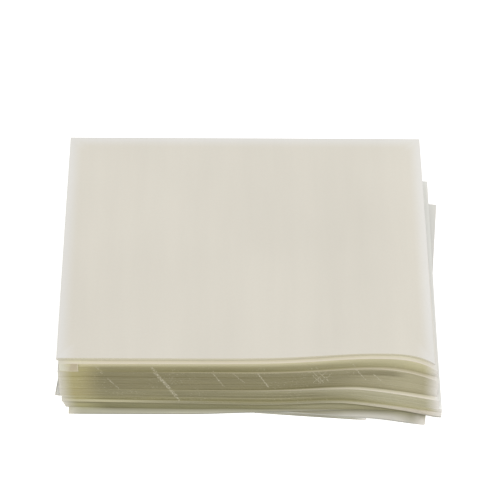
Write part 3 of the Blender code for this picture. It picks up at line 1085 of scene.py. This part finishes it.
BUNDLES = {
    "top_sheets": bundle(
        TOP_OUTLINE, second_top, top_top, layers=9, loose=0.3, base=SECOND_TOP,
        tones=TOP_TONES, slot="cream_sheet", rim=(226, 224, 219)
    ),
    "second_bundle": bundle(
        SECOND_OUTLINE, third_top, second_top, layers=27, loose=0.5, base=THIRD_TOP,
        tones=SECOND_TONES, slot="sheet_edges", covers=(TOP_OUTLINE,), near=SECOND_SHADED_STRIP,
        reach=1.2, flap=True
    ),
    "third_bundle": bundle(
        THIRD_OUTLINE, fourth_top, third_top, layers=60, loose=0.55, base=FOURTH_TOP,
        tones=THIRD_TONES, slot="sheet_edges", covers=(SECOND_OUTLINE,), near=THIRD_SHADED_STRIP,
        reach=1.3, lip_power=1.3
    ),
    # Its rim is painted light: paler than the cream, against the shade of the bundles above.
    "fourth_bundle": bundle(
        FOURTH_OUTLINE, fifth_top, fourth_top, layers=24, loose=1.0, base=FIFTH_TOP,
        tones=FOURTH_TONES, slot="sheet_edges", covers=(THIRD_OUTLINE,), near=FOURTH_SHADED_STRIP,
        fanned_lip=(222, 215, 202), reach=0.95, rim=(224, 222, 216)
    ),
    # Its cream and rim are painted light: near white, against the shade of the bundles above.
    "fifth_bundle": bundle(
        FIFTH_OUTLINE, fifth_bottom, fifth_top, layers=18, loose=0.7, base=SIXTH_TOP,
        tones=FIFTH_TONES, slot="sheet_edges", covers=(FOURTH_OUTLINE,), reach=0.4, foot_layers=10,
        cream=(238, 238, 234), rim=(238, 238, 234)
    ),
    "sixth_bundle": bundle(
        SIXTH_OUTLINE, bottom_top, sixth_top, layers=20, loose=1.0,
        base=TURNED_THICKNESS + BOTTOM_THICKNESS,
        tones=SIXTH_TONES, slot="dark_sheet_edges", covers=(FIFTH_OUTLINE,)
    ),
    "bottom_sheets": bundle(
        BOTTOM_OUTLINE, bottom_bottom, bottom_top, layers=4, loose=0.5, base=TURNED_THICKNESS,
        tones=BOTTOM_TONES, slot="thin_sheet", covers=(SIXTH_OUTLINE, FIFTH_OUTLINE), near=BOTTOM_SHADED_STRIP,
        lip=(180, 178, 160), reach=1.0, cream=(212, 212, 205), rim=(212, 212, 205)
    ),
    # Its cream and rim are painted light: paler than the paper, against the shade of the stack above.
    "turned_sheets": bundle(
        TURNED_OUTLINE, turned_bottom, turned_top, layers=3, loose=0.5, base=0.0,
        tones=TURNED_TONES, slot="thin_sheet", covers=(BOTTOM_OUTLINE, SIXTH_OUTLINE, FIFTH_OUTLINE),
        near=TURNED_SHADED_STRIP, lip=(158, 155, 143), fanned_lip=(199, 196, 187), reach=1.4, fanned_reach=3.2,
        cream=(226, 225, 220), rim=(226, 225, 220)
    ),
    "offcut": bundle(
        OFFCUT_OUTLINE, floor_level, offcut_top, layers=7, loose=0.5, base=0.0,
        tones=OFFCUT_TONES, slot="thin_sheet", covers=(TURNED_OUTLINE,), lip=(196, 194, 184), reach=1.0,
        cream=(212, 211, 205), rim=(212, 211, 205), cells=(27, 33)
    ),
}


def build_stack():
    for number, (node, spec) in enumerate(BUNDLES.items()):
        pile = make_pile(node + "_paper", {**spec, "seed": SEED + number})
        pile.data.materials.append(edge_material(node + "_edges", spec["tones"]))
        pile.data.materials.append(face_material(node + "_face", spec))
        if spec["flap"]:
            pile.data.materials.append(flap_material(node + "_flap"))
        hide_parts(node)
        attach(pile, "root")


# ---------------------------------------------------------------- floor, light and camera
FLOOR_REACH = 3.0
FLOOR_MOTTLE = {"scales": (6.0, 6.0, 6.0)}
FLOOR_MOTTLE_SPAN = (0.3, 0.7)
FLOOR_DARKER = (0.9, 0.9, 0.9, 1.0)
FLOOR_PALER = (0.92, 0.92, 0.92, 1.0)
FLOOR_GLOW = 0.35
FLOOR_ROUGHNESS = 0.7
WHITE = (1.0, 1.0, 1.0, 1.0)
SKY_STRENGTH = 0.55
KEY_AZIMUTH = math.radians(0.0)
KEY_ELEVATION = math.radians(56.0)
KEY_STRENGTH = 2.5
KEY_ANGLE = math.radians(30.0)

CAMERA_TARGET = Vector((-0.494, 15.793, 0.0)) * MM
CAMERA_DISTANCE = 590.75 * MM
CAMERA_AZIMUTH = math.radians(-0.989)
CAMERA_ELEVATION = math.radians(49.0)
CAMERA_ROLL = math.radians(0.984)
CAMERA_LENS = 165.25
CAMERA_SENSOR = 36.0
CAMERA_CLIP = (0.01, 20.0)


def floor_material():
    n = Nodes("studio_floor")
    mottle = n.noise(n.add("ShaderNodeTexCoord").outputs["Object"], **FLOOR_MOTTLE)
    colour = n.mix(n.ramp(mottle, *FLOOR_MOTTLE_SPAN), FLOOR_DARKER, FLOOR_PALER)
    n.shader.inputs["Emission Color"].default_value = WHITE
    n.shader.inputs["Emission Strength"].default_value = FLOOR_GLOW
    return n.finish(colour, FLOOR_ROUGHNESS)


def add_floor():
    mesh = bpy.data.meshes.new("floor")
    corners = [
        (-FLOOR_REACH, -FLOOR_REACH, FLOOR_Z),
        (FLOOR_REACH, -FLOOR_REACH, FLOOR_Z),
        (FLOOR_REACH, FLOOR_REACH, FLOOR_Z),
        (-FLOOR_REACH, FLOOR_REACH, FLOOR_Z),
    ]
    mesh.from_pydata(corners, [], [(0, 1, 2, 3)])
    floor = bpy.data.objects.new("floor", mesh)
    floor.data.materials.append(floor_material())
    bpy.context.scene.collection.objects.link(floor)


def direction(azimuth, elevation):
    """Unit vector towards a place on the sky. Azimuth 0 is in front, at -Y, and 90 on the right."""
    flat = math.cos(elevation)
    return Vector((math.sin(azimuth) * flat, -math.cos(azimuth) * flat, math.sin(elevation)))


def add_key_light():
    light = bpy.data.lights.new("key", "SUN")
    light.energy = KEY_STRENGTH
    light.angle = KEY_ANGLE
    lamp = bpy.data.objects.new("key", light)
    lamp.rotation_euler = direction(KEY_AZIMUTH, KEY_ELEVATION).to_track_quat("Z", "Y").to_euler()
    bpy.context.scene.collection.objects.link(lamp)


def add_world():
    world = bpy.data.worlds.new("studio")
    bpy.context.scene.world = world
    world.use_nodes = True
    background = world.node_tree.nodes["Background"]
    background.inputs["Color"].default_value = WHITE
    background.inputs["Strength"].default_value = SKY_STRENGTH


def add_camera():
    back = direction(CAMERA_AZIMUTH, CAMERA_ELEVATION)
    data = bpy.data.cameras.new("camera")
    data.lens = CAMERA_LENS
    data.sensor_width = CAMERA_SENSOR
    data.clip_start, data.clip_end = CAMERA_CLIP
    camera = bpy.data.objects.new("camera", data)
    place = Matrix.Translation(CAMERA_TARGET + back * CAMERA_DISTANCE)
    turn = back.to_track_quat("Z", "Y").to_matrix().to_4x4()
    camera.matrix_world = place @ turn @ Matrix.Rotation(CAMERA_ROLL, 4, "Z")
    bpy.context.scene.collection.objects.link(camera)
    bpy.context.scene.camera = camera


build_stack()
add_floor()
add_world()
add_key_light()
add_camera()
bpy.context.scene.view_settings.view_transform = "Standard"
